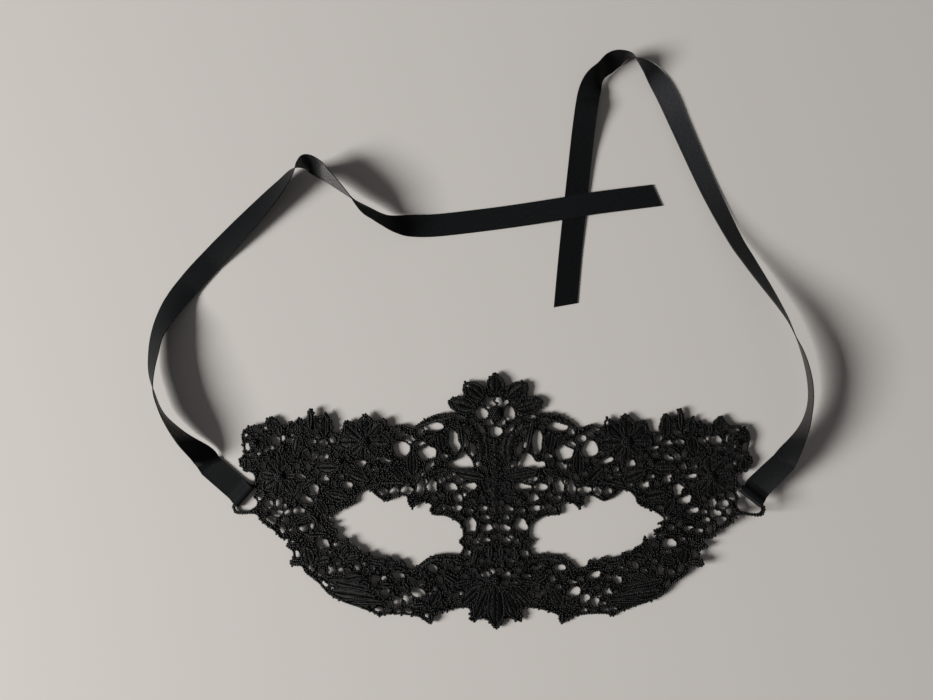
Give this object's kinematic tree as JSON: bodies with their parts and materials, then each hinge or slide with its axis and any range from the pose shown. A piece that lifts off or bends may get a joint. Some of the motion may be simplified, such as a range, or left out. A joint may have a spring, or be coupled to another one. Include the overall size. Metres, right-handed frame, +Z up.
{
  "type": "lace masquerade mask",
  "caption": "Openwork lace half mask with scalloped edges, two eye openings, a rosette crown and a satin tie ribbon folded round each outer corner, lying flat.",
  "frame": {"origin": "under the middle of the lace, on the surface that it lies on", "axes": "+X along the mask's width, from its drawn left side to its right, +Y towards the brow's tip, +Z up from the surface, out of the mask's front"},
  "size_m": [0.2815, 0.249, 0.0157],
  "materials": {
    "lace": "matt black embroidery thread",
    "satin": "black satin ribbon"
  },
  "bodies": {
    "root": {"lace": "lace", "ribbon_left": "satin", "ribbon_right": "satin"}
  },
  "joints": []
}
